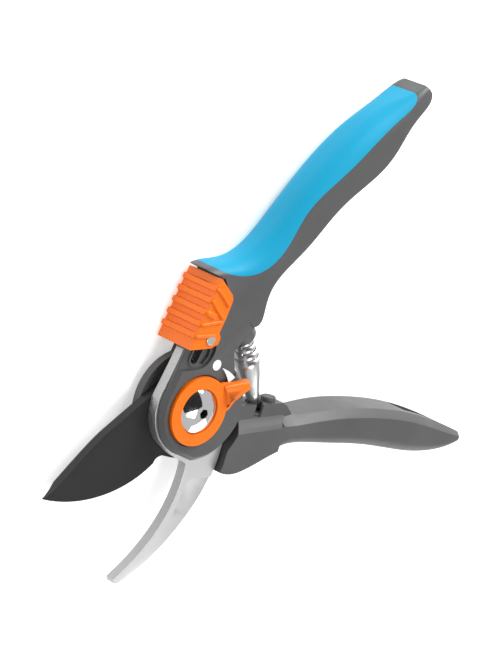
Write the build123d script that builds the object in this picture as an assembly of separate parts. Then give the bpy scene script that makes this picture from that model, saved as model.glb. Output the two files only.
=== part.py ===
from build123d import *
import math
import os

# Bypass pruning shears, open at rest.  Millimetres.
# The origin is on the pivot axis, in the plane that the shears lie on.
# +Z runs along the pivot towards the dial, +X points out between the open jaws.
# Each lever is drawn in its own frame, with its handle along -X, then turned
# about the pivot: the upper lever by +REST_HALF_ANGLE, the lower by -REST_HALF_ANGLE.

os.makedirs("parts", exist_ok=True)

# ---- driving dimensions -------------------------------------------------
REST_HALF_ANGLE = 29.3      # half the angle between the open handles, degrees
HANDLE_REACH = 146.5        # pivot to the end of the upper handle
LOWER_REACH = 145.0         # pivot to the end of the lower handle
HANDLE_WIDTH = 20.0         # handles across, along the pivot axis
HEAD_BACK = 1.8             # back of the lower head
HEAD_FRONT = 16.7           # front of the head cover
BLADE_THICKNESS = 3.5
HOOK_THICKNESS = 4.0
SHEAR_PLANE = 10.0          # where blade and hook slide on each other
FLAT_GAP = 0.05             # between flat faces that slide
RUNNING_GAP = 0.08          # radial, in turning fits
BODY_GAP = 0.6              # between curved faces of different levers
BLADE_REACH = 66.6          # pivot to blade tip
GRIND_WIDTH = 6.0           # bevel ground on the back of the cutting edge
EDGE_LAND = 0.5             # what the grinding leaves at the edge
HOOK_REACH = 67.5           # pivot to hook tip
GRIND_STEP = 0.6            # how much lower the hook's ground front is
PLATE_RADIUS = 17.2         # round end of the hook plate
HEAD_RADIUS = 19.2          # lower head disc
WALL_RADIUS = 25.0          # hollow wall of the lower handle round the upper head
BOLT_RADIUS = 5.0
BUSH_WALL = 1.0
BOLT_CAP_RADIUS = 8.4
BOLT_CAP_RISE = 3.2
HEX_SOCKET = 5.0            # across flats
COVER_SLOPE = 1.6           # sloped border of the head cover
SEAM = -9.4                 # where the cover starts to fall away beside the dial
FALL_WIDTH = 13.2
FALL_ANGLE = 4.5
NUT_ACROSS_FLATS = 13.0
NUT_HEIGHT = 3.0
WASHER_THICKNESS = 0.6
WASHER_RADIUS = 8.0
DIAL_RADIUS = 12.9
DIAL_TOP = 18.0
DIAL_SEAT = 15.4            # floor of the dial's recess in the cover
DIAL_LEVER_REACH = 24.0
RECESS_FLOOR = 15.4         # the hollow in the cover that the slider runs in
DIAL_LEVER_ANGLE = 154.7    # in the upper lever's frame, degrees
GRIP_ROUND = 8.5            # rounding of the soft grip's outer edges
INNER_ROUND = 2.0           # rounding of the handles' inner edges
FLAT_EDGE = 2.9             # flat cut along the lower handle's front inner edge
NECK_SIDE = 17.1            # outer side of the neck, from the slider's travel line
SLIDER_ANGLE = 200.7        # the line from the pivot along the neck, degrees
SLIDER_WALL = 1.6
SLIDER_START = 18.6         # front of the slider along that line, unlocked
SLIDER_LENGTH = 27.4
SLIDER_TRAVEL = 6.5
SLIDER_RIBS = 5
RIB_FOOT = 1.4              # half the width of a rib where it meets the wall
RIB_CREST = 0.9
RIB_PROUD = 1.0
RIB_PITCH = 4.5
FIRST_RIB = 5.4             # from the slider's front
TONGUE_WIDTH = 4.0
TONGUE_THICKNESS = 2.6
TONGUE_SIDE = 13.4          # the tongue's middle, from the slider's line
LOCK_RIVET_PLACE = 25.0     # along the slider's line, unlocked
LOCK_RIVET_SIDE = 11.6
SLOT_RADIUS = 1.75
SLOT_OVERRUN = 2.2          # how much longer the slot is than the travel
CLOSING_ANGLE = 45.0        # how far the lower lever turns to close the jaws
SPRING_SEAT = 34.0          # pivot to the middle of the spring's ends
SPRING_SEAT_RADIUS = 3.4
SPRING_BULGE = 4.7          # widest radius of the coiled spring
SEAT_BOSS_HEIGHT = 5.2      # the upper seat's boss, above the neck's inner side
SEAT_WALL = 1.8             # wall of the boss round the bore, at half its height
LOWER_SEAT_DROP = 4.7       # lower seat, from the lower handle's own axis
NECK_INNER = -3.9           # inner side of the upper neck
BUMPER_REACH = 40.6
BUMPER_RADIUS = 2.8
BUMPER_HEIGHT = 3.6
BUMPER_PROUD = 1.8          # what the bumper stands out of the platform
RIVET_RADIUS = 2.0
TANG_LENGTH = 44.0

# ---- levels worked out from the sizes above ------------------------------
blade_top = SHEAR_PLANE - FLAT_GAP
blade_back = blade_top - BLADE_THICKNESS
hook_top = SHEAR_PLANE + HOOK_THICKNESS
middle = HANDLE_WIDTH / 2
bush_radius = BOLT_RADIUS + RUNNING_GAP + BUSH_WALL
nut_seat = NUT_HEIGHT + 2 * WASHER_THICKNESS
TALL = 60.0


def at_angle(radius, degrees):
    return (radius * math.cos(math.radians(degrees)), radius * math.sin(math.radians(degrees)))


def along_neck(distance, side):
    """A point from its distance along the slider's line and its offset from it."""
    x, y = at_angle(distance, SLIDER_ANGLE)
    dx, dy = at_angle(side, SLIDER_ANGLE + 90)
    return (x + dx, y + dy)


def plate(face, bottom, top):
    return Pos(0, 0, bottom) * extrude(face, top - bottom)


def disc(radius, bottom, top, at=(0, 0)):
    return Pos(at[0], at[1], (bottom + top) / 2) * Cylinder(radius, top - bottom)


def closed(*edges):
    return make_face(Wire(edges))


def polygon(*points):
    return make_face(Polyline(*points, close=True))


def lofted_bar(stations, flat_corner=None):
    """A bar through rounded sections: x, low y, high y, low z, high z, then the
    rounding of the edges on the low y side and on the high y side.  The corner
    numbered flat_corner, counted from low y and low z, is cut flat instead."""
    sections = []
    for x, y0, y1, z0, z1, low_round, high_round in stations:
        plane = Plane(origin=(x, 0, 0), x_dir=(0, 1, 0), z_dir=(-1, 0, 0))
        corners = [
            (y0, z0, low_round, 180), (y1, z0, high_round, 270),
            (y1, z1, high_round, 0), (y0, z1, low_round, 90),
        ]
        pieces = []
        ends = []
        for y, z, size, start in corners:
            inward_y = size if y == y0 else -size
            inward_z = size if z == z0 else -size
            centre = (y + inward_y, z + inward_z)
            first = at_angle(size, start)
            half = at_angle(size, start + 45)
            last = at_angle(size, start + 90)
            arc_points = [(centre[0] + p[0], centre[1] + p[1]) for p in (first, half, last)]
            ends.append(arc_points)
        for index, arc_points in enumerate(ends):
            if index == flat_corner:
                pieces.append(Line(arc_points[0], arc_points[2]))
            else:
                pieces.append(ThreePointArc(*arc_points))
            pieces.append(Line(arc_points[2], ends[(index + 1) % 4][0]))
        outline = Wire([Plane(origin=(x, 0, 0), x_dir=(0, 1, 0), z_dir=(1, 0, 0)) * piece
                        for piece in pieces])
        sections.append(make_face(outline))
    return loft(sections)


def save(shape, name, colour):
    solids = shape.solids()
    result = solids[0] if len(solids) == 1 else Compound(children=list(solids))
    result.label = name
    result.color = Color(*colour)
    export_step(result, f"parts/{name}.step")
    return result


NYLON = (0.33, 0.33, 0.33)
BLUE = (0.0, 0.6, 0.85)
ORANGE = (0.95, 0.42, 0.08)
STEEL = (0.8, 0.8, 0.8)
BLACK = (0.12, 0.12, 0.12)

upper = Rot(0, 0, REST_HALF_ANGLE)
lower = Rot(0, 0, -REST_HALF_ANGLE)

# ---- counter blade: round plate, curved hook and a tang in the handle -----
hook_tip_inner = at_angle(HOOK_REACH - 0.6, 20.7)
hook_tip_outer = at_angle(HOOK_REACH, 24.0)
hook_heel = (14.8, 15.2)
hook_root = (-2.0, 22.3)
hook_shoulder = (13.0, 30.2)
tang_inner = along_neck(TANG_LENGTH, 3.0)
tang_outer = along_neck(TANG_LENGTH, 12.0)
plate_shoulder = along_neck(SLIDER_START + 3.0, NECK_SIDE - 0.5)
plate_outer = along_neck(SLIDER_START - SLIDER_TRAVEL - 1.0, NECK_SIDE - 0.3)
hook_face = closed(
    Spline(hook_heel, (30.3, 23.3), (47.0, 25.5), hook_tip_inner),
    ThreePointArc(hook_tip_inner, at_angle(HOOK_REACH + 0.9, 22.2), hook_tip_outer),
    Spline(hook_tip_outer, (46.0, 32.1), (28.9, 32.9), hook_shoulder, hook_root),
    ThreePointArc(hook_root, at_angle(PLATE_RADIUS + 1.0, 140), at_angle(PLATE_RADIUS, 180)),
    Line(at_angle(PLATE_RADIUS, 180), tang_inner),
    Line(tang_inner, tang_outer),
    Line(tang_outer, plate_shoulder),
    Line(plate_shoulder, plate_outer),
    Line(plate_outer, (4.0, -16.9)),
    ThreePointArc((4.0, -16.9), at_angle(PLATE_RADIUS, -30), at_angle(PLATE_RADIUS, 8)),
    Spline(at_angle(PLATE_RADIUS, 8), (16.0, 10.3), hook_heel,
           tangents=[(0, 1), (-0.1, 1)]),
)
counter_blade = plate(hook_face, SHEAR_PLANE, hook_top)
# the front is ground lower outside a land along the hook's inner edge
ground_area = closed(
    Line((8.0, 31.8), (16.6, 23.0)),
    Spline((16.6, 23.0), (19.0, 21.9), (24.0, 23.6), (31.9, 26.6), (44.1, 27.6), (54.5, 26.4),
           (63.5, 25.0)),
    Line((63.5, 25.0), (HOOK_REACH + 6.0, 30.0)),
    Line((HOOK_REACH + 6.0, 30.0), (HOOK_REACH, 45.0)),
    Line((HOOK_REACH, 45.0), (8.0, 45.0)),
    Line((8.0, 45.0), (8.0, 31.8)),
)
counter_blade -= plate(ground_area, hook_top - GRIND_STEP, hook_top + 1)
counter_blade -= disc(BOLT_RADIUS, SHEAR_PLANE - 1, hook_top + 1)

# ---- pivot: domed bolt, nut and two washers, all fixed in the upper lever --
bolt_top = DIAL_TOP - 0.6
bolt_profile = closed(
    Line((0.0, 0.0), (BOLT_RADIUS, 0.0)),
    Line((BOLT_RADIUS, 0.0), (BOLT_RADIUS, hook_top)),
    Line((BOLT_RADIUS, hook_top), (BOLT_CAP_RADIUS, hook_top)),
    Line((BOLT_CAP_RADIUS, hook_top), (BOLT_CAP_RADIUS, bolt_top)),
    ThreePointArc((BOLT_CAP_RADIUS, bolt_top),
                  (BOLT_CAP_RADIUS * 0.55, bolt_top + BOLT_CAP_RISE * 0.72),
                  (0.0, bolt_top + BOLT_CAP_RISE)),
    Line((0.0, bolt_top + BOLT_CAP_RISE), (0.0, 0.0)),
)
pivot_bolt = revolve(Rot(90, 0, 0) * bolt_profile, Axis.Z)
hex_socket = extrude(RegularPolygon(HEX_SOCKET / 2, 6, major_radius=False), 10)
pivot_bolt -= Pos(0, 0, bolt_top - 1.2) * hex_socket
pivot_nut = plate(RegularPolygon(NUT_ACROSS_FLATS / 2, 6, major_radius=False), 0.0, NUT_HEIGHT)
pivot_nut -= disc(BOLT_RADIUS, -1, NUT_HEIGHT + 1)
lock_washer = disc(WASHER_RADIUS, NUT_HEIGHT, NUT_HEIGHT + WASHER_THICKNESS)
lock_washer -= disc(BOLT_RADIUS, 0, SHEAR_PLANE)
thrust_washer = disc(WASHER_RADIUS, NUT_HEIGHT + WASHER_THICKNESS, nut_seat)
thrust_washer -= disc(BOLT_RADIUS, 0, SHEAR_PLANE)

# ---- upper handle: nylon neck, head cover and grip core --------------------
upper_bar = lofted_bar([
    (-36.0, -37.4, NECK_INNER, 1.0, HEAD_FRONT, 5.0, 1.2),
    (-42.0, -33.2, NECK_INNER - 0.3, 0.8, HEAD_FRONT + 0.4, 6.5, 1.2),
    (-49.5, -28.0, -10.1, 0.5, 18.6, GRIP_ROUND, INNER_ROUND),
    (-60.0, -25.2, -11.6, 0.2, 19.6, GRIP_ROUND, INNER_ROUND),
    (-78.0, -25.8, -10.7, 0.1, HANDLE_WIDTH - 0.1, GRIP_ROUND, INNER_ROUND),
    (-100.0, -26.2, -8.4, 0.1, HANDLE_WIDTH - 0.1, GRIP_ROUND, INNER_ROUND),
    (-122.0, -22.9, -6.4, 0.4, HANDLE_WIDTH - 0.4, GRIP_ROUND, INNER_ROUND),
    (-138.0, -17.2, -7.6, 1.4, HANDLE_WIDTH - 1.4, 4.4, INNER_ROUND),
    (-HANDLE_REACH, -14.0, -8.9, 3.0, HANDLE_WIDTH - 3.0, 2.2, 1.6),
])
neck_face = polygon(
    (-16.0, NECK_INNER), (-38.0, NECK_INNER), (-38.0, -33.0),
    along_neck(46.0, NECK_SIDE), along_neck(SLIDER_START, NECK_SIDE), (-4.0, -10.0),
)
neck = plate(neck_face, HEAD_BACK, HEAD_FRONT)
neck -= disc(HEAD_RADIUS + BODY_GAP, -1, SHEAR_PLANE)
neck -= plate(polygon(
    along_neck(0.0, -3.0), along_neck(SLIDER_START, -3.0),
    along_neck(SLIDER_START, 40.0), along_neck(0.0, 40.0)), -1, SHEAR_PLANE)
cover_face = closed(
    Spline(at_angle(19.6, 48), at_angle(21.4, 82), at_angle(22.3, 98), at_angle(23.6, 126),
           at_angle(23.0, 143), at_angle(21.5, 172)),
    Line(at_angle(21.5, 172), (-26.0, NECK_INNER)),
    Line((-26.0, NECK_INNER), along_neck(26.0, NECK_SIDE)),
    Line(along_neck(26.0, NECK_SIDE), along_neck(8.0, NECK_SIDE - 0.4)),
    Line(along_neck(8.0, NECK_SIDE - 0.4), (3.4, -16.4)),
    ThreePointArc((3.4, -16.4), at_angle(16.6, -22), at_angle(17.4, 30)),
    Line(at_angle(17.4, 30), at_angle(19.6, 48)),
)
cover = plate(cover_face, hook_top, HEAD_FRONT)
cover_rim = cover.faces().sort_by(Axis.Z)[-1].edges()
cover = chamfer(cover_rim.filter_by(lambda edge: edge.center().X > -24.0), COVER_SLOPE)
neck += cover
neck -= disc(DIAL_RADIUS + BODY_GAP, DIAL_SEAT, TALL)
neck -= disc(BOLT_CAP_RADIUS, hook_top - 1, TALL)

# parting wall between the hard core and the soft grip
parting = closed(
    Spline((-37.6, -39.2), (-40.4, -30.8), (-44.2, -25.2), (-50.0, -20.8), (-60.0, -19.0),
           (-76.9, -21.7), (-101.2, -19.8), (-128.6, -15.9), (-140.4, -15.4), (-143.0, -20.0)),
    Line((-143.0, -20.0), (-143.0, -60.0)),
    Line((-143.0, -60.0), (-37.6, -60.0)),
    Line((-37.6, -60.0), (-37.6, -39.2)),
)
grip_zone = plate(parting, -5, TALL)
upper_grip = upper_bar & grip_zone
upper_core = upper_bar - grip_zone
bay_start = SLIDER_START - SLIDER_TRAVEL - BODY_GAP
bay_end = SLIDER_START + SLIDER_LENGTH + BODY_GAP
slider_bay = plate(polygon(
    along_neck(bay_start, NECK_SIDE), along_neck(bay_end, NECK_SIDE),
    along_neck(bay_end, 60.0), along_neck(bay_start, 60.0)), -5, TALL)
slider_roof = plate(closed(
    Spline(along_neck(10.4, 30.0), along_neck(10.6, 15.6), along_neck(12.4, 11.0),
           along_neck(15.0, 6.4), along_neck(19.0, 4.4), along_neck(23.0, 4.6)),
    Line(along_neck(23.0, 4.6), along_neck(28.0, 7.8)),
    Line(along_neck(28.0, 7.8), along_neck(41.0, 8.2)),
    Line(along_neck(41.0, 8.2), along_neck(bay_end, 15.0)),
    Line(along_neck(bay_end, 15.0), along_neck(bay_end, 60.0)),
    Line(along_neck(bay_end, 60.0), along_neck(10.4, 60.0)),
    Line(along_neck(10.4, 60.0), along_neck(10.4, 30.0))), RECESS_FLOOR, TALL)
slider_floor = plate(polygon(
    along_neck(bay_start, 8.2), along_neck(bay_end, 8.2),
    along_neck(bay_end, 60.0), along_neck(bay_start, 60.0)), -5, 3.4)
upper_grip -= slider_bay + slider_roof + slider_floor
# the cover falls away a little from a seam beside the dial towards the inner side
fall = Pos(0, SEAM, HEAD_FRONT) * Rot(-FALL_ANGLE, 0, 0) * Pos(-29.0, FALL_WIDTH / 2, 5.0)
neck -= fall * Box(38.0, FALL_WIDTH, 10.0)
upper_handle = upper_core + neck
upper_handle -= slider_bay + slider_roof + slider_floor
upper_handle -= counter_blade

# tongue channel and the slot that the slider's rivet runs in
tongue_floor = blade_top - TONGUE_THICKNESS - 0.3
tongue_channel = plate(polygon(
    along_neck(8.0, TONGUE_SIDE - TONGUE_WIDTH / 2 - 0.2),
    along_neck(40.0, TONGUE_SIDE - TONGUE_WIDTH / 2 - 0.2),
    along_neck(40.0, NECK_SIDE + 1),
    along_neck(8.0, NECK_SIDE + 1)), tongue_floor - 0.2, blade_top)
upper_handle -= tongue_channel


def neck_slot(start, end, side, radius, bottom, top):
    hull = plate(polygon(
        along_neck(start, side - radius), along_neck(end, side - radius),
        along_neck(end, side + radius), along_neck(start, side + radius)), bottom, top)
    for place in (start, end):
        hull += disc(radius, bottom, top, along_neck(place, side))
    return hull


slot_start = LOCK_RIVET_PLACE - SLIDER_TRAVEL - SLOT_OVERRUN
slot = neck_slot(slot_start, LOCK_RIVET_PLACE, LOCK_RIVET_SIDE, SLOT_RADIUS,
                 tongue_floor + TONGUE_THICKNESS - 0.1, TALL)
slot_rim = neck_slot(slot_start, LOCK_RIVET_PLACE, LOCK_RIVET_SIDE, SLOT_RADIUS + 0.8,
                     RECESS_FLOOR - 1.0, RECESS_FLOOR + 0.5)
groove = plate(polygon(
    along_neck(15.8, 6.4), along_neck(19.6, 5.2), along_neck(30.0, 8.4),
    along_neck(30.0, LOCK_RIVET_SIDE - SLOT_RADIUS - 0.8),
    along_neck(15.8, LOCK_RIVET_SIDE - SLOT_RADIUS - 0.8)),
    hook_top + 0.2, TALL)
upper_handle -= groove
upper_handle += slot_rim
upper_handle -= slot
counter_blade -= slot

# tang rivets through neck and tang
rivet_places = [along_neck(33.0, 5.4), along_neck(45.5, 6.4)]
tang_rivets = Part()
for place in rivet_places:
    tang_rivets += disc(RIVET_RADIUS, 4.0, 15.6, place)
upper_handle -= tang_rivets
counter_blade -= tang_rivets

# spring seat: a blind bore and its raised boss on the inner side
seat_x = -math.sqrt(SPRING_SEAT ** 2 - NECK_INNER ** 2)
boss_height = SEAT_BOSS_HEIGHT + 2.0
on_boss = Pos(seat_x, NECK_INNER + SEAT_BOSS_HEIGHT - boss_height / 2, middle) * Rot(-90, 0, 0)
boss_radius = SPRING_SEAT_RADIUS + SEAT_WALL
upper_handle += on_boss * Cone(boss_radius + 0.8, boss_radius - 0.6, boss_height)
seat_depth = SEAT_BOSS_HEIGHT + 3.0
seat_bore = Pos(seat_x, NECK_INNER + SEAT_BOSS_HEIGHT - seat_depth / 2, middle) * Rot(90, 0, 0)
upper_handle -= seat_bore * Cylinder(SPRING_SEAT_RADIUS, seat_depth + 0.02)

# open pocket in the inner face near the handle's end
upper_pocket = Pos(-131.0, -6.0, middle) * Box(12.0, 6.0, 9.0)
upper_handle -= upper_pocket

# ---- cutting blade -----------------------------------------------------------
blade_tip = at_angle(BLADE_REACH, 36.9)
blade_heel = (6.6, 22.8)
spine_end = (10.2, -9.4)
edge_points = [blade_heel, (12.5, 28.8), (25.5, 36.3), (40.6, 40.0), blade_tip]
blade_face = closed(
    Spline(*edge_points),
    Spline(blade_tip, (49.3, 36.6), (44.9, 30.6), (39.3, 22.4), (32.8, 14.0)),
    Line((32.8, 14.0), spine_end),
    Line(spine_end, at_angle(PLATE_RADIUS, -74)),
    ThreePointArc(at_angle(PLATE_RADIUS, -74), at_angle(PLATE_RADIUS, -120),
                  at_angle(PLATE_RADIUS, 200)),
    Line(at_angle(PLATE_RADIUS, 200), (-46.0, -1.5)),
    Line((-46.0, -1.5), (-46.0, 7.0)),
    Line((-46.0, 7.0), at_angle(PLATE_RADIUS + 1.6, 150)),
    ThreePointArc(at_angle(PLATE_RADIUS + 1.6, 150), at_angle(19.9, 120), (-2.0, 19.9)),
    Spline((-2.0, 19.9), (4.6, 19.9), blade_heel, tangents=[(1, 0), (0.1, 1)]),
)
cutting_blade = plate(blade_face, blade_back, blade_top)


def beyond_edge(shift, level):
    """The area outside the cutting edge, its inner border moved into the blade."""
    border = []
    for (x, y), inward in zip(edge_points, (-35, -45, -62, -78, -95)):
        dx, dy = at_angle(shift, inward)
        border.append((x + dx, y + dy))
    outline = closed(
        Spline(*border), Line(border[-1], (BLADE_REACH + 10.0, 60.0)),
        Line((BLADE_REACH + 10.0, 60.0), (-10.0, 60.0)), Line((-10.0, 60.0), border[0]))
    return Pos(0, 0, level) * outline


# the edge is hollow on the back only, so the front slides flat on the hook
grind_depth = BLADE_THICKNESS - EDGE_LAND
past = 1.1
cutting_blade -= loft([
    beyond_edge(0.0, blade_top - EDGE_LAND),
    beyond_edge(GRIND_WIDTH * past, blade_top - EDGE_LAND - grind_depth * past),
], ruled=True)
# the lock's notch for the closed jaws, and its relief for the open ones
locked_front = SLIDER_START - 3.0 - SLIDER_TRAVEL
notch = polygon(
    along_neck(locked_front - 0.6, TONGUE_SIDE - TONGUE_WIDTH / 2 - 0.4),
    along_neck(40.0, TONGUE_SIDE - TONGUE_WIDTH / 2 - 0.4),
    along_neck(40.0, TONGUE_SIDE + TONGUE_WIDTH / 2 + 0.4),
    along_neck(locked_front - 0.6, TONGUE_SIDE + TONGUE_WIDTH / 2 + 0.4))
for turn in (2 * REST_HALF_ANGLE, 2 * REST_HALF_ANGLE - CLOSING_ANGLE):
    cutting_blade -= Rot(0, 0, turn) * plate(notch, 0, SHEAR_PLANE)
cutting_blade -= disc(bush_radius, 0, SHEAR_PLANE)
pivot_bushing = disc(bush_radius, nut_seat + FLAT_GAP, blade_top)
pivot_bushing -= disc(BOLT_RADIUS + RUNNING_GAP, 0, SHEAR_PLANE)

# ---- lower handle: nylon head disc, neck and grip ------------------------------
lower_bar = lofted_bar([
    (-46.0, -2.2, 11.6, 1.0, HEAD_FRONT, FLAT_EDGE + 0.8, 3.0),
    (-53.0, -3.2, 8.0, 0.8, HEAD_FRONT + 0.8, FLAT_EDGE + 0.4, 3.4),
    (-64.0, -6.1, 6.3, 0.4, HANDLE_WIDTH - 1.0, FLAT_EDGE, 3.8),
    (-80.0, -9.1, 4.9, 0.1, HANDLE_WIDTH - 0.1, FLAT_EDGE, 4.0),
    (-98.0, -10.5, 4.4, 0.1, HANDLE_WIDTH - 0.1, FLAT_EDGE, 4.0),
    (-118.0, -9.9, 4.6, 0.2, HANDLE_WIDTH - 0.2, FLAT_EDGE, 4.0),
    (-134.0, -7.6, 2.4, 1.2, HANDLE_WIDTH - 1.2, FLAT_EDGE - 0.4, 3.2),
    (-LOWER_REACH, -5.4, -1.4, 3.2, HANDLE_WIDTH - 3.2, 1.6, 1.6),
], flat_corner=3)
lower_neck_face = closed(
    Spline((-13.0, 18.4), (-18.0, 21.0), (-26.0, 21.9), (-34.0, 18.8), (-42.1, 13.9), (-47.0, 11.2)),
    Line((-47.0, 11.2), (-47.0, -2.3)),
    Line((-47.0, -2.3), (-16.0, 4.0)),
    Line((-16.0, 4.0), (-13.0, 18.4)),
)
lower_neck = plate(lower_neck_face, HEAD_BACK, HEAD_FRONT)
neck_front = lower_neck.faces().sort_by(Axis.Z)[-1]
inner_edge = neck_front.edges().sort_by(Axis.Y)[0]
lower_neck = chamfer(inner_edge, FLAT_EDGE + 1.4, FLAT_EDGE, reference=neck_front)
platform_start = (-24.0, -2.9)
platform_end = (-45.0, -6.7)
platform_tilt = math.degrees(math.atan2(platform_start[1] - platform_end[1],
                                        platform_start[0] - platform_end[0]))
platform = plate(polygon((-22.0, 3.0), platform_start, platform_end, (-47.6, -5.6), (-51.5, -2.6),
                         (-46.0, 3.0)), 4.0, HEAD_FRONT - FLAT_EDGE)
lower_neck += platform
lower_neck -= disc(WALL_RADIUS, SHEAR_PLANE - FLAT_GAP, TALL)
hook_side = polygon(
    (hook_shoulder[0] + 10.0, hook_shoulder[1] + 3.0 * BODY_GAP),
    (hook_shoulder[0] - BODY_GAP, hook_shoulder[1] + 1.5 * BODY_GAP),
    ((hook_shoulder[0] + hook_root[0]) / 2 - 1.5 * BODY_GAP,
     (hook_shoulder[1] + hook_root[1]) / 2 + 2.5 * BODY_GAP),
    (hook_root[0] - 1.5 * BODY_GAP, hook_root[1] + BODY_GAP),
    (0.0, 10.0), (30.0, 10.0))
lower_neck -= Rot(0, 0, 2 * REST_HALF_ANGLE) * plate(hook_side, blade_top, TALL)
lower_head = disc(HEAD_RADIUS, HEAD_BACK, blade_back)
lower_head = chamfer(lower_head.faces().sort_by(Axis.Z)[0].edges(), 1.4)
lower_handle = lower_bar + lower_neck + lower_head
lower_handle -= cutting_blade
lower_handle -= disc(bush_radius, 0, SHEAR_PLANE)
lower_handle -= disc(NUT_ACROSS_FLATS / math.sqrt(3) + 1.2, -1, nut_seat + FLAT_GAP)


def platform_y(x):
    """The platform's upper face at a distance along the handle."""
    return platform_start[1] + (x - platform_start[0]) * math.tan(math.radians(platform_tilt))


lower_seat_x = -math.sqrt(SPRING_SEAT ** 2 - LOWER_SEAT_DROP ** 2)
on_platform = Rot(0, 0, platform_tilt) * Rot(90, 0, 0)
seat_cut = Pos(lower_seat_x, platform_y(lower_seat_x), middle) * on_platform
lower_handle -= seat_cut * Cylinder(SPRING_SEAT_RADIUS, 7.0)
# a shallow groove in the platform's front wall, beside the seat
on_groove = Pos(lower_seat_x, platform_y(lower_seat_x), HEAD_FRONT - FLAT_EDGE + 0.6) * Rot(90, 0, 0)
lower_handle -= on_groove * Cylinder(1.9, 9.0)
# open pocket in the inner face near the handle's end
lower_handle -= Pos(-123.5, -8.6, 8.4) * Box(23.0, 8.0, 10.4)

bumper_seat = Pos(-BUMPER_REACH, platform_y(-BUMPER_REACH), middle) * on_platform
bumper = Pos(0, 0, BUMPER_PROUD - BUMPER_HEIGHT / 2) * Cylinder(BUMPER_RADIUS, BUMPER_HEIGHT)
bumper = bumper_seat * bumper
bumper = fillet(bumper.edges().filter_by(GeomType.CIRCLE).sort_by(Axis.Y)[0], 0.5)
lower_handle -= bumper

blade_rivet_places = [(-25.5, 4.2), (-38.0, 3.4)]
blade_rivets = Part()
for place in blade_rivet_places:
    blade_rivets += disc(RIVET_RADIUS, 3.4, 14.0 if place[0] < -30 else blade_top, place)
lower_handle -= blade_rivets
cutting_blade -= blade_rivets

# ---- limit dial: a ring with a lever, turning on the bolt's head ---------------
lever_half_root = 5.6
lever_half_tip = 2.0
lever_neck = 17.5
lever_face = Rot(0, 0, DIAL_LEVER_ANGLE) * closed(
    Line((0.0, lever_half_root + 1.2), (DIAL_RADIUS, lever_half_root)),
    Line((DIAL_RADIUS, lever_half_root), (lever_neck, lever_half_tip + 1.4)),
    Line((lever_neck, lever_half_tip + 1.4), (DIAL_LEVER_REACH - 1.0, lever_half_tip)),
    ThreePointArc((DIAL_LEVER_REACH - 1.0, lever_half_tip), (DIAL_LEVER_REACH, 0.0),
                  (DIAL_LEVER_REACH - 1.0, -lever_half_tip)),
    Line((DIAL_LEVER_REACH - 1.0, -lever_half_tip), (lever_neck, -lever_half_tip - 1.4)),
    Line((lever_neck, -lever_half_tip - 1.4), (DIAL_RADIUS, -lever_half_root)),
    Line((DIAL_RADIUS, -lever_half_root), (0.0, -lever_half_root - 1.2)),
    Line((0.0, -lever_half_root - 1.2), (0.0, lever_half_root + 1.2)),
)
dial_face = make_face(Circle(DIAL_RADIUS).wire()) + lever_face
limit_dial = plate(dial_face, HEAD_FRONT + FLAT_GAP, DIAL_TOP)
limit_dial += disc(DIAL_RADIUS, DIAL_SEAT + FLAT_GAP, HEAD_FRONT + FLAT_GAP)
limit_dial -= disc(BOLT_CAP_RADIUS + RUNNING_GAP, 0, TALL)

# ---- lock slider: a ribbed shell round the neck, with its tongue and rivet -----
slider_end = SLIDER_START + SLIDER_LENGTH
slider_outer = NECK_SIDE + SLIDER_WALL
slider_blank = plate(polygon(
    along_neck(SLIDER_START, slider_outer), along_neck(slider_end, slider_outer),
    along_neck(slider_end - 3.4, 10.8), along_neck(slider_end - 5.0, 9.4),
    along_neck(SLIDER_START + 16, 8.8), along_neck(SLIDER_START + 9.9, 8.8),
    along_neck(SLIDER_START + 8.4, 7.2), along_neck(SLIDER_START + 6.0, 7.0),
    along_neck(SLIDER_START + 3.6, 9.6), along_neck(SLIDER_START + 1.4, 15.0)),
    1.0, 19.0)
ribs = Part()
for number in range(SLIDER_RIBS):
    middle_of_rib = SLIDER_START + FIRST_RIB + RIB_PITCH * number
    ribs += plate(polygon(
        along_neck(middle_of_rib - RIB_FOOT, slider_outer - 0.5),
        along_neck(middle_of_rib + RIB_FOOT, slider_outer - 0.5),
        along_neck(middle_of_rib + RIB_CREST, slider_outer + RIB_PROUD),
        along_neck(middle_of_rib - RIB_CREST, slider_outer + RIB_PROUD)), 1.0, 18.6)
slider_hollow = plate(polygon(
    along_neck(0.0, 0.0), along_neck(60.0, 0.0),
    along_neck(60.0, NECK_SIDE + 0.1), along_neck(0.0, NECK_SIDE + 0.1)),
    3.3, hook_top + 2.6)
lock_slider = slider_blank + ribs - slider_hollow
lock_slider -= plate(polygon(
    along_neck(0.0, 0.0), along_neck(60.0, 0.0), along_neck(60.0, 9.0), along_neck(0.0, 9.0)),
    -1, SHEAR_PLANE)
for position in (0.0, SLIDER_TRAVEL):
    lock_slider -= disc(HEAD_RADIUS + BODY_GAP, -1, SHEAR_PLANE, along_neck(position, 0.0))
tongue_face = polygon(
    along_neck(SLIDER_START - 3.0, TONGUE_SIDE - TONGUE_WIDTH / 2),
    along_neck(34.0, TONGUE_SIDE - TONGUE_WIDTH / 2),
    along_neck(34.0, NECK_SIDE + 0.1),
    along_neck(24.0, NECK_SIDE + 0.1),
    along_neck(24.0, TONGUE_SIDE + TONGUE_WIDTH / 2),
    along_neck(SLIDER_START - 3.0, TONGUE_SIDE + TONGUE_WIDTH / 2))
lock_tongue = plate(tongue_face, tongue_floor, tongue_floor + TONGUE_THICKNESS)
lock_rivet = disc(SLOT_RADIUS - 0.25, tongue_floor + TONGUE_THICKNESS, 19.0,
                  along_neck(LOCK_RIVET_PLACE, LOCK_RIVET_SIDE))
lock_rivet += disc(SLOT_RADIUS + 0.2, 19.0, 19.5, along_neck(LOCK_RIVET_PLACE, LOCK_RIVET_SIDE))
lock_slider -= lock_rivet

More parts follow.
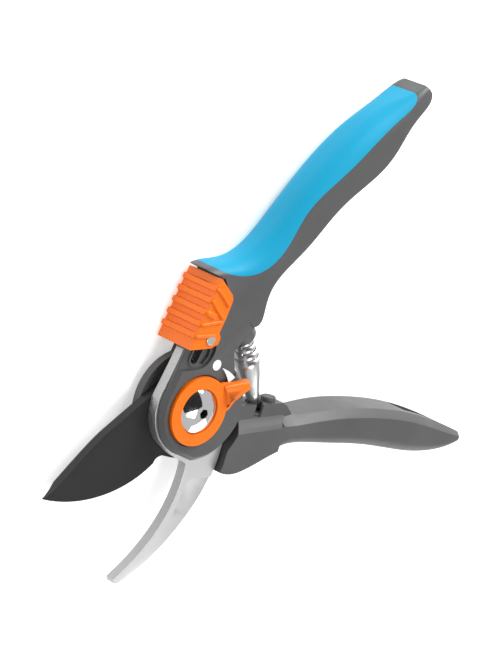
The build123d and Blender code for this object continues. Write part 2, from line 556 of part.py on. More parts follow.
# ---- volute spring between the two seats ----------------------------------------
spring_start = 180.0 - REST_HALF_ANGLE + 10.5
spring_end = 180.0 + REST_HALF_ANGLE + 0.2
spring_sections = []
# share of the way to the upper seat, radius, and how far it bows towards the pivot
spring_stations = ((0.0, 2.1, 0.0), (0.3, SPRING_BULGE - 0.9, 1.0), (0.55, SPRING_BULGE, 1.2),
                   (0.8, SPRING_BULGE - 0.9, 0.9), (1.0, 2.3, 0.0))
for share, radius, bow in spring_stations:
    angle = spring_start + share * (spring_end - spring_start)
    place = at_angle(SPRING_SEAT - bow, angle)
    tangent = at_angle(1.0, angle + 90)
    plane = Plane(origin=(place[0], place[1], middle), x_dir=(0, 0, 1),
                  z_dir=(tangent[0], tangent[1], 0))
    spring_sections.append(make_face((plane * Circle(radius)).wire()))
volute_spring = loft(spring_sections)

# ---- write the nodes ---------------------------------------------------------------
for name, shape, side, colour in (
    ("upper_handle", upper_handle, upper, NYLON),
    ("upper_grip", upper_grip, upper, BLUE),
    ("counter_blade", counter_blade, upper, STEEL),
    ("tang_rivets", tang_rivets, upper, STEEL),
    ("pivot_bolt", pivot_bolt, upper, STEEL),
    ("pivot_nut", pivot_nut, upper, STEEL),
    ("lock_washer", lock_washer, upper, STEEL),
    ("thrust_washer", thrust_washer, upper, STEEL),
    ("limit_dial", limit_dial, upper, ORANGE),
    ("lock_slider", lock_slider, upper, ORANGE),
    ("lock_tongue", lock_tongue, upper, BLACK),
    ("lock_rivet", lock_rivet, upper, STEEL),
    ("lower_handle", lower_handle, lower, NYLON),
    ("cutting_blade", cutting_blade, lower, BLACK),
    ("pivot_bushing", pivot_bushing, lower, STEEL),
    ("blade_rivets", blade_rivets, lower, STEEL),
    ("bumper", bumper, lower, BLACK),
    ("volute_spring", volute_spring, Rot(0, 0, 0), STEEL),
):
    save(side * shape, name, colour)
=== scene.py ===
import math

import bmesh
import bpy
from mathutils import Matrix, Vector


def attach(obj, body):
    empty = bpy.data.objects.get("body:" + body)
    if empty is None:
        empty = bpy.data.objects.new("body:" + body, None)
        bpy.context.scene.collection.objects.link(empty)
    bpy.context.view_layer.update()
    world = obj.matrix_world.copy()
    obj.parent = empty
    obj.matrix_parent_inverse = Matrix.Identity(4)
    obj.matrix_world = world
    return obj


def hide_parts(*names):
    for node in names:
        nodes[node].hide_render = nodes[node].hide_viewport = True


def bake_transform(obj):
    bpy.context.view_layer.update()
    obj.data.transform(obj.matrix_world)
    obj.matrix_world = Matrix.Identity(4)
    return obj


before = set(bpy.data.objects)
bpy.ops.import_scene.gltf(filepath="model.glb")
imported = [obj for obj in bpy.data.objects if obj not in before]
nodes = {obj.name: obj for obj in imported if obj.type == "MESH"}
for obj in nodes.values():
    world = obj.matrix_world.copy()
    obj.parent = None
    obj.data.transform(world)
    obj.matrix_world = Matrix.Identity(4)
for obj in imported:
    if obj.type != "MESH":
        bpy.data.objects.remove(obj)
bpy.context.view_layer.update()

# ---------------------------------------------------------------- studio
# A pale sheet of card under the shears, one large softbox over the handles,
# a weaker one over the jaws, a black flag and a white bounce that only the
# bright metal sees, and an even white surround.
VIEW_AZIMUTH = math.radians(-40.0)
VIEW_ELEVATION = math.radians(43.0)
VIEW_ROLL = math.radians(114.83)
VIEW_DISTANCE = 1.0
VIEW_AIM = Vector((-0.02356, -0.02284, 0.02161))
LENS = 151.75
SENSOR = 36.0
CARD_SIZE = 3.0
CARD_GLOW = 0.50
FLAG_SIZE = 0.38
FLAG_PLACE = Vector((-0.03, -0.26, 0.50))
BOUNCE_SIZE = 0.35
BOUNCE_PLACE = Vector((-0.35, 0.95, 0.32))
BOUNCE_GLOW = 1.1
CARD_SHADE = (0.94, 0.94, 0.94, 1)
SURROUND_STRENGTH = 0.55

back = Vector((math.cos(VIEW_ELEVATION) * math.cos(VIEW_AZIMUTH),
               math.cos(VIEW_ELEVATION) * math.sin(VIEW_AZIMUTH),
               math.sin(VIEW_ELEVATION)))
level = Vector((0, 0, 1)).cross(back).normalized()
plumb = back.cross(level)
right = level * math.cos(VIEW_ROLL) + plumb * math.sin(VIEW_ROLL)
above = plumb * math.cos(VIEW_ROLL) - level * math.sin(VIEW_ROLL)
camera_data = bpy.data.cameras.new("camera")
camera_data.lens = LENS
camera_data.sensor_width = SENSOR
camera_data.clip_start = 0.05
camera = bpy.data.objects.new("camera", camera_data)
bpy.context.collection.objects.link(camera)
axes = Matrix((right, above, back)).transposed().to_4x4()
camera.matrix_world = Matrix.Translation(VIEW_AIM + back * VIEW_DISTANCE) @ axes
bpy.context.scene.camera = camera

card = bmesh.new()
bmesh.ops.create_grid(card, x_segments=1, y_segments=1, size=CARD_SIZE)
card_mesh = bpy.data.meshes.new("studio_card")
card.to_mesh(card_mesh)
card.free()
studio_card = bpy.data.objects.new("studio_card", card_mesh)
bpy.context.collection.objects.link(studio_card)
card_paint = bpy.data.materials.new("card_paint")
card_paint.use_nodes = True
card_surface = card_paint.node_tree.nodes["Principled BSDF"]
card_surface.inputs["Base Color"].default_value = CARD_SHADE
card_surface.inputs["Roughness"].default_value = 0.9
card_surface.inputs["Emission Color"].default_value = CARD_SHADE
card_surface.inputs["Emission Strength"].default_value = CARD_GLOW
card_mesh.materials.append(card_paint)

surround = bpy.data.worlds.new("surround")
bpy.context.scene.world = surround
surround.use_nodes = True
surround.node_tree.nodes["Background"].inputs["Color"].default_value = (1.0, 1.0, 1.0, 1)
surround.node_tree.nodes["Background"].inputs["Strength"].default_value = SURROUND_STRENGTH
bpy.context.scene.view_settings.view_transform = "Standard"


def softbox(name, place, width, height, power):
    light = bpy.data.lights.new(name, "AREA")
    light.shape = "RECTANGLE"
    light.size = width
    light.size_y = height
    light.energy = power
    lamp = bpy.data.objects.new(name, light)
    bpy.context.collection.objects.link(lamp)
    lamp.location = place
    lamp.rotation_mode = "QUATERNION"
    lamp.rotation_quaternion = (VIEW_AIM - Vector(place)).to_track_quat("-Z", "Y")


softbox("handle_softbox", (-0.85, -0.75, 0.55), 0.7, 0.5, 17.0)
softbox("top_softbox", (0.1, 0.25, 1.2), 0.6, 0.6, 7.0)


def mirror_card(name, place, size, shade, glow):
    """A square card that only bright metal sees, turned to the shears."""
    sheet = bmesh.new()
    bmesh.ops.create_grid(sheet, x_segments=1, y_segments=1, size=size)
    facing = (VIEW_AIM - place).to_track_quat("Z", "Y").to_matrix()
    bmesh.ops.rotate(sheet, verts=sheet.verts, cent=(0, 0, 0), matrix=facing)
    bmesh.ops.translate(sheet, verts=sheet.verts, vec=place)
    mesh = bpy.data.meshes.new(name)
    sheet.to_mesh(mesh)
    sheet.free()
    cloth = bpy.data.materials.new(name + "_cloth")
    cloth.use_nodes = True
    surface = cloth.node_tree.nodes["Principled BSDF"]
    surface.inputs["Base Color"].default_value = (*shade, 1)
    surface.inputs["Roughness"].default_value = 1.0
    surface.inputs["Emission Color"].default_value = (*shade, 1)
    surface.inputs["Emission Strength"].default_value = glow
    mesh.materials.append(cloth)
    piece = bpy.data.objects.new(name, mesh)
    bpy.context.collection.objects.link(piece)
    piece.visible_camera = False
    piece.visible_diffuse = False
    piece.visible_shadow = False


mirror_card("black_flag", FLAG_PLACE, FLAG_SIZE, (0.004, 0.004, 0.004), 0.0)
mirror_card("white_bounce", BOUNCE_PLACE, BOUNCE_SIZE, (1.0, 1.0, 1.0), BOUNCE_GLOW)

# ---------------------------------------------------------------- nylon handles
# Two hard mouldings in grey glass-filled nylon carry the tangs.  Their edges are
# softly rounded and their faces keep the fine spark-eroded grain of the mould.
MM = 0.001
REST_HALF_ANGLE = math.radians(29.3)
WELD = 0.00002
SHARP = math.radians(32.0)
FLAT = math.radians(0.6)
SMOOTH = math.pi
NYLON = (0.088, 0.088, 0.090)
NYLON_SHADE = (0.048, 0.048, 0.050)


def polar(radius, angle, height=0.0):
    """A point from its distance from the pivot axis, its direction and its height."""
    return Vector((math.cos(angle) * radius, math.sin(angle) * radius, height))


def grain_group(name):
    """A cloudy mask and a fine pitted height, both from Object coordinates."""
    group = bpy.data.node_groups.new(name, "ShaderNodeTree")
    group.interface.new_socket("Cloud Size", in_out="INPUT", socket_type="NodeSocketFloat")
    group.interface.new_socket("Pit Size", in_out="INPUT", socket_type="NodeSocketFloat")
    group.interface.new_socket("Cloud", in_out="OUTPUT", socket_type="NodeSocketFloat")
    group.interface.new_socket("Height", in_out="OUTPUT", socket_type="NodeSocketFloat")
    links = group.links
    entry = group.nodes.new("NodeGroupInput")
    leave = group.nodes.new("NodeGroupOutput")
    place = group.nodes.new("ShaderNodeTexCoord")
    cloud = group.nodes.new("ShaderNodeTexNoise")
    cloud.inputs["Detail"].default_value = 4.0
    pits = group.nodes.new("ShaderNodeTexNoise")
    pits.inputs["Detail"].default_value = 2.0
    pits.inputs["Roughness"].default_value = 0.6
    links.new(place.outputs["Object"], cloud.inputs["Vector"])
    links.new(place.outputs["Object"], pits.inputs["Vector"])
    links.new(entry.outputs["Cloud Size"], cloud.inputs["Scale"])
    links.new(entry.outputs["Pit Size"], pits.inputs["Scale"])
    links.new(cloud.outputs["Fac"], leave.inputs["Cloud"])
    links.new(pits.outputs["Fac"], leave.inputs["Height"])
    return group


moulded_grain = grain_group("moulded_grain")


def finish(name, colour, second, clouds, pits, pit_depth, gloss, dull):
    """A material of two close colours in clouds, with a fine pitted height."""
    material = bpy.data.materials.new(name)
    material.use_nodes = True
    tree = material.node_tree
    surface = tree.nodes["Principled BSDF"]
    grain = tree.nodes.new("ShaderNodeGroup")
    grain.node_tree = moulded_grain
    grain.inputs["Cloud Size"].default_value = clouds
    grain.inputs["Pit Size"].default_value = pits
    blend = tree.nodes.new("ShaderNodeMix")
    blend.data_type = "RGBA"
    blend.inputs["A"].default_value = (*colour, 1)
    blend.inputs["B"].default_value = (*second, 1)
    sheen = tree.nodes.new("ShaderNodeMapRange")
    sheen.inputs["To Min"].default_value = gloss
    sheen.inputs["To Max"].default_value = dull
    relief = tree.nodes.new("ShaderNodeBump")
    relief.inputs["Distance"].default_value = pit_depth
    relief.inputs["Strength"].default_value = 0.5
    tree.links.new(grain.outputs["Cloud"], blend.inputs["Factor"])
    tree.links.new(blend.outputs["Result"], surface.inputs["Base Color"])
    tree.links.new(grain.outputs["Cloud"], sheen.inputs["Value"])
    tree.links.new(sheen.outputs["Result"], surface.inputs["Roughness"])
    tree.links.new(grain.outputs["Height"], relief.inputs["Height"])
    tree.links.new(relief.outputs["Normal"], surface.inputs["Normal"])
    return material


def settle(piece, body, paint):
    """Puts a finished mesh object in the scene on its body, with its material."""
    bpy.context.collection.objects.link(piece)
    piece.data.materials.clear()
    piece.data.materials.append(paint)
    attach(piece, body)


def finished(name, shape, body, paint, crease):
    """Makes a settled object of a bmesh, with every edge sharper than crease kept crisp."""
    mesh = bpy.data.meshes.new(name)
    shape.to_mesh(mesh)
    shape.free()
    mesh.shade_smooth()
    mesh.set_sharp_from_angle(angle=crease)
    piece = bpy.data.objects.new(name, mesh)
    settle(piece, body, paint)
    return piece


def dressed(node, name, body, paint, rounding, segments=3, trim=None):
    """A copy of a CAD node with its seams welded, its flats joined and its edges rounded."""
    shape = bmesh.new()
    shape.from_mesh(nodes[node].data)
    bmesh.ops.remove_doubles(shape, verts=shape.verts, dist=WELD)
    if rounding:
        bmesh.ops.dissolve_limit(shape, angle_limit=FLAT, verts=shape.verts, edges=shape.edges)
    if trim:
        trim(shape)
    piece = finished(name, shape, body, paint, SHARP)
    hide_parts(node)
    if not rounding:
        return piece
    rounded = piece.modifiers.new("rounded_edges", "BEVEL")
    rounded.width = rounding
    rounded.segments = segments
    rounded.limit_method = "ANGLE"
    rounded.angle_limit = SHARP
    rounded.harden_normals = True
    return piece


nylon = finish("grey_nylon", NYLON, NYLON_SHADE, 45.0, 2600.0, 0.00003, 0.42, 0.55)
dressed("upper_handle", "upper_handle_moulding", "upper_lever", nylon, 0.45 * MM)
dressed("lower_handle", "lower_handle_moulding", "lower_lever", nylon, 0.45 * MM)

# ---------------------------------------------------------------- soft grip
# The blue elastomer is moulded over the outer half of the upper handle.  It is
# a little crowned, satin rather than glossy, and rolls under at its border.
GRIP_BLUE = (0.0, 0.30, 0.49)
GRIP_DEEP = (0.0, 0.26, 0.44)

grip_skin = finish("soft_blue_grip", GRIP_BLUE, GRIP_DEEP, 30.0, 3200.0, 0.00004, 0.46, 0.60)
grip_skin.node_tree.nodes["Principled BSDF"].inputs["Specular IOR Level"].default_value = 0.25
dressed("upper_grip", "soft_grip", "upper_lever", grip_skin, 1.0 * MM, 4)

# ---------------------------------------------------------------- steels
# The hook is blanked from sheet: bright flat faces with a fine lengthwise grind
# and a coarse torn edge all round.  Rivets, nut and washers are plain bright steel.
HOOK_STEEL = (0.72, 0.72, 0.72)
TORN_EDGE = (0.42, 0.42, 0.42)


def steel(name, face, edge, grind, pits, pit_depth, gloss):
    """Bright metal whose upright edges are coarser and darker than its flat faces."""
    material = bpy.data.materials.new(name)
    material.use_nodes = True
    tree = material.node_tree
    surface = tree.nodes["Principled BSDF"]
    surface.inputs["Metallic"].default_value = 1.0
    place = tree.nodes.new("ShaderNodeTexCoord")
    facing = tree.nodes.new("ShaderNodeNewGeometry")
    split = tree.nodes.new("ShaderNodeSeparateXYZ")
    upright = tree.nodes.new("ShaderNodeMath")
    upright.operation = "ABSOLUTE"
    flat = tree.nodes.new("ShaderNodeMapRange")
    flat.inputs["From Min"].default_value = 0.35
    flat.inputs["From Max"].default_value = 0.75
    colours = tree.nodes.new("ShaderNodeMix")
    colours.data_type = "RGBA"
    colours.inputs["A"].default_value = (*edge, 1)
    colours.inputs["B"].default_value = (*face, 1)
    rough = tree.nodes.new("ShaderNodeMapRange")
    rough.inputs["To Min"].default_value = 0.55
    rough.inputs["To Max"].default_value = gloss
    stretch = tree.nodes.new("ShaderNodeMapping")
    stretch.inputs["Scale"].default_value = grind
    lines = tree.nodes.new("ShaderNodeTexNoise")
    lines.inputs["Scale"].default_value = 400.0
    lines.inputs["Detail"].default_value = 3.0
    tears = tree.nodes.new("ShaderNodeTexNoise")
    tears.inputs["Scale"].default_value = pits
    tears.inputs["Detail"].default_value = 3.0
    height = tree.nodes.new("ShaderNodeMix")
    relief = tree.nodes.new("ShaderNodeBump")
    relief.inputs["Distance"].default_value = pit_depth
    relief.inputs["Strength"].default_value = 0.8
    fine = tree.nodes.new("ShaderNodeMath")
    fine.operation = "MULTIPLY"
    fine.inputs[1].default_value = 0.08
    links = tree.links
    links.new(facing.outputs["True Normal"], split.inputs["Vector"])
    links.new(split.outputs["Z"], upright.inputs[0])
    links.new(upright.outputs["Value"], flat.inputs["Value"])
    links.new(flat.outputs["Result"], colours.inputs["Factor"])
    links.new(colours.outputs["Result"], surface.inputs["Base Color"])
    links.new(flat.outputs["Result"], rough.inputs["Value"])
    links.new(rough.outputs["Result"], surface.inputs["Roughness"])
    links.new(place.outputs["Object"], stretch.inputs["Vector"])
    links.new(stretch.outputs["Vector"], lines.inputs["Vector"])
    links.new(place.outputs["Object"], tears.inputs["Vector"])
    links.new(lines.outputs["Fac"], fine.inputs[0])
    links.new(flat.outputs["Result"], height.inputs["Factor"])
    links.new(tears.outputs["Fac"], height.inputs["A"])
    links.new(fine.outputs["Value"], height.inputs["B"])
    links.new(height.outputs["Result"], relief.inputs["Height"])
    links.new(relief.outputs["Normal"], surface.inputs["Normal"])
    return material


LENGTHWISE = (0.3, 6.0, 1.0)
EVEN = (1.0, 1.0, 1.0)
TURNED_STEEL = (0.80, 0.80, 0.80)
TURNED_EDGE = (0.62, 0.62, 0.62)
ground_steel = steel("ground_steel", HOOK_STEEL, TORN_EDGE, LENGTHWISE, 1500.0, 0.0003, 0.38)
bright_steel = steel("bright_steel", TURNED_STEEL, TURNED_EDGE, EVEN, 900.0, 0.00004, 0.22)
dressed("counter_blade", "hook_blade", "upper_lever", ground_steel, 0.18 * MM, 2)
for node, name, body, slot in (
        ("tang_rivets", "tang_rivet_heads", "upper_lever", "rivet_steel"),
        ("blade_rivets", "blade_rivet_heads", "lower_lever", "rivet_steel"),
        ("lock_rivet", "lock_rivet_head", "lock", "rivet_steel"),
        ("pivot_nut", "pivot_hex_nut", "upper_lever", "nut_steel"),
        ("lock_washer", "spring_washer", "upper_lever", "nut_steel"),
        ("thrust_washer", "thrust_ring", "upper_lever", "nut_steel"),
        ("pivot_bushing", "pivot_sleeve", "lower_lever", "rivet_steel")):
    dressed(node, name, body, bright_steel, 0.15 * MM, 2)

# ---------------------------------------------------------------- pivot bolt
# The bolt's wide cap is domed and chrome plated to a mirror, with a hexagon
# socket for the key that sets the blades' tension; the socket's shade is painted on a dark lining.
CAP_RADIUS = 8.4 * MM
CAP_SEAT = 14.0 * MM
CAP_EDGE = 17.4 * MM
CAP_RISE = 3.03 * MM
CAP_OVERLAP = 0.1 * MM
CAP_TURN = 120
CAP_RINGS = 24
SOCKET_FLOOR = 16.4 * MM
SOCKET_HALF = 1.7 * MM
SOCKET_SIDES = 6
LINING_WALL = 0.06 * MM
DOME_RADIUS = (CAP_RADIUS ** 2 + CAP_RISE ** 2) / (2 * CAP_RISE)
DOME_CENTRE = CAP_EDGE + CAP_RISE - DOME_RADIUS

chrome = bpy.data.materials.new("mirror_chrome")
chrome.use_nodes = True
chrome_surface = chrome.node_tree.nodes["Principled BSDF"]
chrome_surface.inputs["Metallic"].default_value = 1.0
chrome_surface.inputs["Base Color"].default_value = (0.88, 0.88, 0.89, 1)
swirl = chrome.node_tree.nodes.new("ShaderNodeTexNoise")
swirl.inputs["Scale"].default_value = 1200.0
haze = chrome.node_tree.nodes.new("ShaderNodeMapRange")
haze.inputs["To Min"].default_value = 0.04
haze.inputs["To Max"].default_value = 0.08
chrome_place = chrome.node_tree.nodes.new("ShaderNodeTexCoord")
chrome.node_tree.links.new(chrome_place.outputs["Object"], swirl.inputs["Vector"])
chrome.node_tree.links.new(swirl.outputs["Fac"], haze.inputs["Value"])
chrome.node_tree.links.new(haze.outputs["Result"], chrome_surface.inputs["Roughness"])


def dome(radius):
    """Height of the cap's face at a distance from its axis."""
    return DOME_CENTRE + math.sqrt(DOME_RADIUS ** 2 - radius ** 2)


def skin(shape, rings):
    """Faces between rings of points, and a face over the first and the last ring."""
    for inner, outer in zip(rings, rings[1:]):
        for step in range(len(inner)):
            following = (step + 1) % len(inner)
            shape.faces.new((inner[step], outer[step], outer[following], inner[following]))
    shape.faces.new(rings[0])
    shape.faces.new(tuple(reversed(rings[-1])))
    bmesh.ops.recalc_face_normals(shape, faces=shape.faces)


def cut_cap(bolt):
    """Takes the coarse cap off above its seat; a finer one is set in its place."""
    bmesh.ops.bisect_plane(
        bolt, geom=bolt.verts[:] + bolt.edges[:] + bolt.faces[:], dist=WELD / 4,
        plane_co=(0, 0, CAP_SEAT + 2 * CAP_OVERLAP), plane_no=(0, 0, 1), clear_outer=True)
    open_edges = [edge for edge in bolt.edges if edge.is_boundary]
    bmesh.ops.holes_fill(bolt, edges=open_edges, sides=0)


dressed("pivot_bolt", "pivot_bolt_shank", "upper_lever", chrome, 0.0, trim=cut_cap)
cap = bmesh.new()
cap_rings = []
for ring in range(-1, CAP_RINGS + 2):
    share = min(max(ring / CAP_RINGS, 0.0), 1.0)
    loop = []
    for step in range(CAP_TURN):
        angle = math.tau * step / CAP_TURN
        corner = (angle + REST_HALF_ANGLE) % (math.tau / SOCKET_SIDES) - math.pi / SOCKET_SIDES
        radius = SOCKET_HALF / math.cos(corner) * (1 - share) + CAP_RADIUS * share
        height = dome(radius)
        if ring < 0:
            height = SOCKET_FLOOR
        if ring > CAP_RINGS:
            height = CAP_SEAT + CAP_OVERLAP
        loop.append(cap.verts.new(polar(radius, angle, height)))
    cap_rings.append(loop)
skin(cap, cap_rings)
finished("bolt_cap", cap, "upper_lever", chrome, SHARP)

# dark lining of the socket: painted shade in its hollow
socket_painted_shade = finish("socket_painted_shade", (0.012, 0.012, 0.013), (0.03, 0.03, 0.03), 300.0, 2600.0, 0.00002,
                      0.4, 0.6)
outer_corner = SOCKET_HALF / math.cos(math.pi / SOCKET_SIDES)
inner_corner = outer_corner - LINING_WALL
lining_rim = dome(outer_corner) - LINING_WALL
lining = bmesh.new()
lining_rings = []
for radius, height in ((outer_corner, SOCKET_FLOOR), (outer_corner, lining_rim),
                       (inner_corner, lining_rim), (inner_corner, SOCKET_FLOOR + LINING_WALL)):
    angles = [math.tau * corner / SOCKET_SIDES - REST_HALF_ANGLE for corner in range(SOCKET_SIDES)]
    lining_rings.append([lining.verts.new(polar(radius, angle, height)) for angle in angles])
skin(lining, lining_rings)
finished("socket_shade_lining", lining, "upper_lever", socket_painted_shade, 0.0)

# ---------------------------------------------------------------- cutting blade
# Spring steel with a black low-friction coating, ground hollow on the back.
# The coating is satin with a faint speckle; latch and bumper are black and grey.
COATING = (0.014, 0.014, 0.015)
COATING_THIN = (0.020, 0.020, 0.021)
coating = finish("black_blade_coating", COATING, COATING_THIN, 60.0, 1800.0, 0.00002, 0.34, 0.46)
coating.node_tree.nodes["Principled BSDF"].inputs["Specular IOR Level"].default_value = 0.2
dressed("cutting_blade", "coated_blade", "lower_lever", coating, 0.15 * MM, 2)
dressed("lock_tongue", "lock_latch", "lock", coating, 0.2 * MM, 2)
rubber = finish("grey_rubber", (0.075, 0.075, 0.077), (0.06, 0.06, 0.06), 80.0, 2200.0, 0.00004, 0.6, 0.75)
dressed("bumper", "rubber_bumper", "lower_lever", rubber, 0.3 * MM)

# ---------------------------------------------------------------- orange parts
# The limit dial and the lock slider are moulded in orange acetal, glossier than
# the handles.  The dial's thumb lever is a raised wedge with a ridge along it.
ORANGE = (0.84, 0.165, 0.003)
ORANGE_DEEP = (0.78, 0.14, 0.002)
orange = finish("orange_acetal", ORANGE, ORANGE_DEEP, 50.0, 1500.0, 0.00002, 0.32, 0.42)
orange.node_tree.nodes["Principled BSDF"].inputs["Specular IOR Level"].default_value = 0.3
dressed("limit_dial", "opening_dial", "dial", orange, 0.35 * MM)
SLIDER_LINE = math.radians(200.7) + REST_HALF_ANGLE
SLIDER_SIDE = 18.7 * MM
SLIDER_TOP = 19.0 * MM
RIB_FOOT = 1.3 * MM
RIB_MIDDLE = 10.0 * MM
RIB_RADIUS = 0.75 * MM
RIB_SHOULDER = 0.6 * MM
RIB_TURN = 0.5 * MM
CENTRE_PLACE = 33.0 * MM
CENTRE_RADIUS = 1.35 * MM
CENTRE_SINK = 0.3 * MM


def along_neck(distance, side):
    """A point of the closed neck's plan, from its distance along the slider's line and its offset."""
    line = Vector((math.cos(SLIDER_LINE), math.sin(SLIDER_LINE)))
    across = Vector((-line.y, line.x))
    return line * distance + across * side


def ridge(name, stops, radius):
    """A round-topped rib up the slider's side wall and over its front flap."""
    curve = bpy.data.curves.new(name, "CURVE")
    curve.dimensions = "3D"
    curve.bevel_depth = radius
    curve.bevel_resolution = 3
    curve.use_fill_caps = True
    line = curve.splines.new("NURBS")
    line.points.add(len(stops) - 1)
    for point, (place, height) in zip(line.points, stops):
        point.co = (place.x, place.y, height, 1.0)
    line.order_u = 3
    line.use_endpoint_u = True
    rod = bpy.data.objects.new(name + "_rod", curve)
    mesh = bpy.data.meshes.new_from_object(rod)
    mesh.name = name
    bpy.data.objects.remove(rod)
    return mesh


dressed("lock_slider", "lock_slide_shell", "lock", orange, 0.15 * MM, 2)
# each rib from the side wall over the flap: places along and beside the slider's line
RIB_PLANS = (
    ((24.0, 19.0), (25.0, 16.0), (27.0, 10.4)),
    ((28.5, 19.0), (29.9, 15.6), (32.4, 10.2)),
    ((37.5, 19.0), (36.0, 16.0), (33.4, 10.2)),
    ((42.0, 19.0), (40.8, 15.0), (38.4, 10.4)),
)
rib_runs = []
for plan in RIB_PLANS:
    start = plan[0][0] * MM
    foot = along_neck(start, SLIDER_SIDE)
    stops = [(foot, RIB_FOOT), (foot, RIB_MIDDLE), (foot, SLIDER_TOP - RIB_SHOULDER),
             (along_neck(start, SLIDER_SIDE - RIB_TURN), SLIDER_TOP)]
    stops += [(along_neck(s * MM, u * MM), SLIDER_TOP) for s, u in plan[1:]]
    rib_runs.append((stops, RIB_RADIUS))
foot = along_neck(CENTRE_PLACE, SLIDER_SIDE - 0.4 * MM)
centre_top = SLIDER_TOP - CENTRE_SINK
rib_runs.append(([(foot, RIB_FOOT), (foot, RIB_MIDDLE), (foot, centre_top - RIB_SHOULDER),
                  (along_neck(CENTRE_PLACE, SLIDER_SIDE - 2 * RIB_TURN), centre_top),
                  (along_neck(CENTRE_PLACE, 15.4 * MM), centre_top),
                  (along_neck(CENTRE_PLACE, 14.6 * MM), centre_top - 0.1 * MM)], CENTRE_RADIUS))
ribs = bmesh.new()
for stops, radius in rib_runs:
    strip = ridge("slider_rib", stops, radius)
    ribs.from_mesh(strip)
    bpy.data.meshes.remove(strip)
finished("slider_ribs", ribs, "lock", orange, SMOOTH)

# thumb lever of the dial
LEVER_ANGLE = math.radians(154.7) + REST_HALF_ANGLE
LEVER_BASE = 17.6 * MM
LEVER_CREST = 20.1 * MM
LEVER_FLAT = math.radians(4.0)
LEVER_ROUND = 0.35 * MM
# half widths and heights along the wedge, then the ridge along its top
LEVER_FLANKS = ((12.2, 4.8, LEVER_BASE), (18.0, 3.0, LEVER_BASE), (23.4, 2.1, LEVER_BASE),
                (12.6, 4.0, LEVER_BASE + 0.9 * MM), (22.8, 1.7, LEVER_CREST - 0.7 * MM))
LEVER_RIDGE = ((13.0, -1.2), (23.2, 0.6), (22.6, -0.8))
lever = bmesh.new()
for reach, half, height in LEVER_FLANKS:
    for side in (-half, half):
        lever.verts.new((reach * MM, side * MM, height))
for reach, side in LEVER_RIDGE:
    lever.verts.new((reach * MM, side * MM, LEVER_CREST))
bmesh.ops.convex_hull(lever, input=lever.verts)
bmesh.ops.dissolve_limit(lever, angle_limit=LEVER_FLAT, verts=lever.verts, edges=lever.edges)
bmesh.ops.bevel(lever, geom=lever.edges[:], offset=LEVER_ROUND, segments=3, profile=0.5,
                affect="EDGES", material=-1)
bmesh.ops.rotate(lever, verts=lever.verts, cent=(0, 0, 0), matrix=Matrix.Rotation(LEVER_ANGLE, 3, "Z"))
finished("dial_lever", lever, "dial", orange, SMOOTH)

# ---------------------------------------------------------------- opening scale
# A white dot and a crescent that widens towards the lever are pad printed on the
# head cover, to show how wide the jaws will open.
PRINT_LEVEL = 16.72 * MM
PRINT_THICKNESS = 0.03 * MM
SCALE_RADIUS = 17.7 * MM
DOT_ANGLE = math.radians(202.9) + REST_HALF_ANGLE
DOT_RADIUS = 2.0 * MM
CRESCENT_START = math.radians(193.0) + REST_HALF_ANGLE
CRESCENT_END = math.radians(168.0) + REST_HALF_ANGLE
CRESCENT_HALF = 1.7 * MM
CRESCENT_STEPS = 14
INK = (0.80, 0.80, 0.80)
INK_THIN = (0.70, 0.70, 0.70)
white_ink = finish("white_ink", INK, INK_THIN, 300.0, 2600.0, 0.00001, 0.5, 0.6)
marks = bmesh.new()
bmesh.ops.create_circle(marks, cap_ends=True, segments=40, radius=DOT_RADIUS)
bmesh.ops.translate(marks, verts=marks.verts, vec=polar(SCALE_RADIUS, DOT_ANGLE, PRINT_LEVEL))
tip = marks.verts.new(polar(SCALE_RADIUS, CRESCENT_START, PRINT_LEVEL))
pair = [tip]
for step in range(1, CRESCENT_STEPS + 1):
    share = step / CRESCENT_STEPS
    angle = CRESCENT_START + (CRESCENT_END - CRESCENT_START) * share
    wide = CRESCENT_HALF * share
    following = [marks.verts.new(polar(SCALE_RADIUS + side, angle, PRINT_LEVEL)) for side in (-wide, wide)]
    marks.faces.new((*pair, following[1], following[0]))
    pair = following
bmesh.ops.recalc_face_normals(marks, faces=marks.faces)
scale_print = finished("opening_scale", marks, "upper_lever", white_ink, 0.0)
ink_film = scale_print.modifiers.new("ink_film", "SOLIDIFY")
ink_film.thickness = PRINT_THICKNESS

# ---------------------------------------------------------------- volute spring
# A flat polished strip is wound into a long cone whose turns slide inside each
# other, so it stays slim between the handles as they close.
STRIP_WALL = 0.45 * MM
TURN_STEPS = 40
SPRING_SEAT = 34.0 * MM
SPRING_LEVEL = 10.0 * MM
LOWER_SEAT_ANGLE = math.radians(158.0)
UPPER_SEAT_ANGLE = math.radians(211.0)
STRIP_STEEL = (0.74, 0.74, 0.74)
STRIP_EDGE = (0.70, 0.70, 0.70)
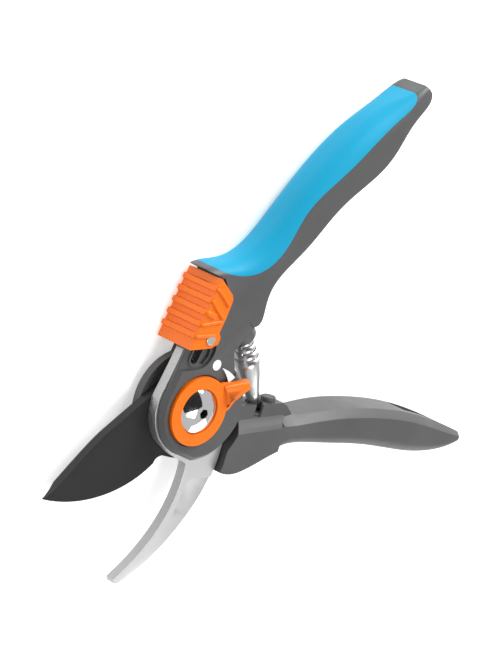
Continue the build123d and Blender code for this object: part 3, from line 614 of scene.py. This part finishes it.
# each band: points of its profile, as share of the length and radius, then turns and rise
SPRING_BANDS = (
    (((0.00, 2.0), (0.16, 2.5), (0.30, 3.3), (0.44, 4.2), (0.56, 4.6), (0.66, 4.7)), 1.12, 0.4),
    (((0.60, 4.05), (0.745, 4.15)), 1.1, 1.0),
    (((0.70, 3.5), (0.83, 3.6)), 1.1, 1.0),
    (((0.79, 2.95), (0.91, 3.05)), 1.1, 1.0),
    (((0.87, 2.4), (0.99, 2.5)), 1.1, 0.8),
)

polished = steel("polished_strip", STRIP_STEEL, STRIP_EDGE, (1.0, 1.0, 0.2), 700.0, 0.00001, 0.28)
spring_foot = polar(SPRING_SEAT, LOWER_SEAT_ANGLE, SPRING_LEVEL)
spring_head = polar(SPRING_SEAT, UPPER_SEAT_ANGLE, SPRING_LEVEL)
spring_axis = (spring_head - spring_foot).normalized()
spring_length = (spring_head - spring_foot).length
coil = bmesh.new()
for profile, turns, rise in SPRING_BANDS:
    edge_points = [coil.verts.new((radius * MM, 0, share * spring_length)) for share, radius in profile]
    strip = edge_points + [coil.edges.new(pair) for pair in zip(edge_points, edge_points[1:])]
    steps = int(TURN_STEPS * turns)
    bmesh.ops.spin(coil, geom=strip, cent=(0, 0, 0), axis=(0, 0, 1),
                   dvec=(0, 0, rise * MM / steps), angle=math.tau * turns, steps=steps)
bmesh.ops.recalc_face_normals(coil, faces=coil.faces)
turned = spring_axis.to_track_quat("Z", "Y").to_matrix()
bmesh.ops.rotate(coil, verts=coil.verts, cent=(0, 0, 0), matrix=turned)
bmesh.ops.translate(coil, verts=coil.verts, vec=spring_foot)
coil_mesh = bpy.data.meshes.new("volute_strip")
coil.to_mesh(coil_mesh)
coil.free()
coil_mesh.shade_smooth()
coil_mesh.materials.append(polished)
volute_strip = bpy.data.objects.new("volute_strip", coil_mesh)
bpy.context.collection.objects.link(volute_strip)
strip_wall = volute_strip.modifiers.new("strip_wall", "SOLIDIFY")
strip_wall.thickness = STRIP_WALL
strip_wall.offset = 0.0
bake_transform(volute_strip)
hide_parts("volute_spring")
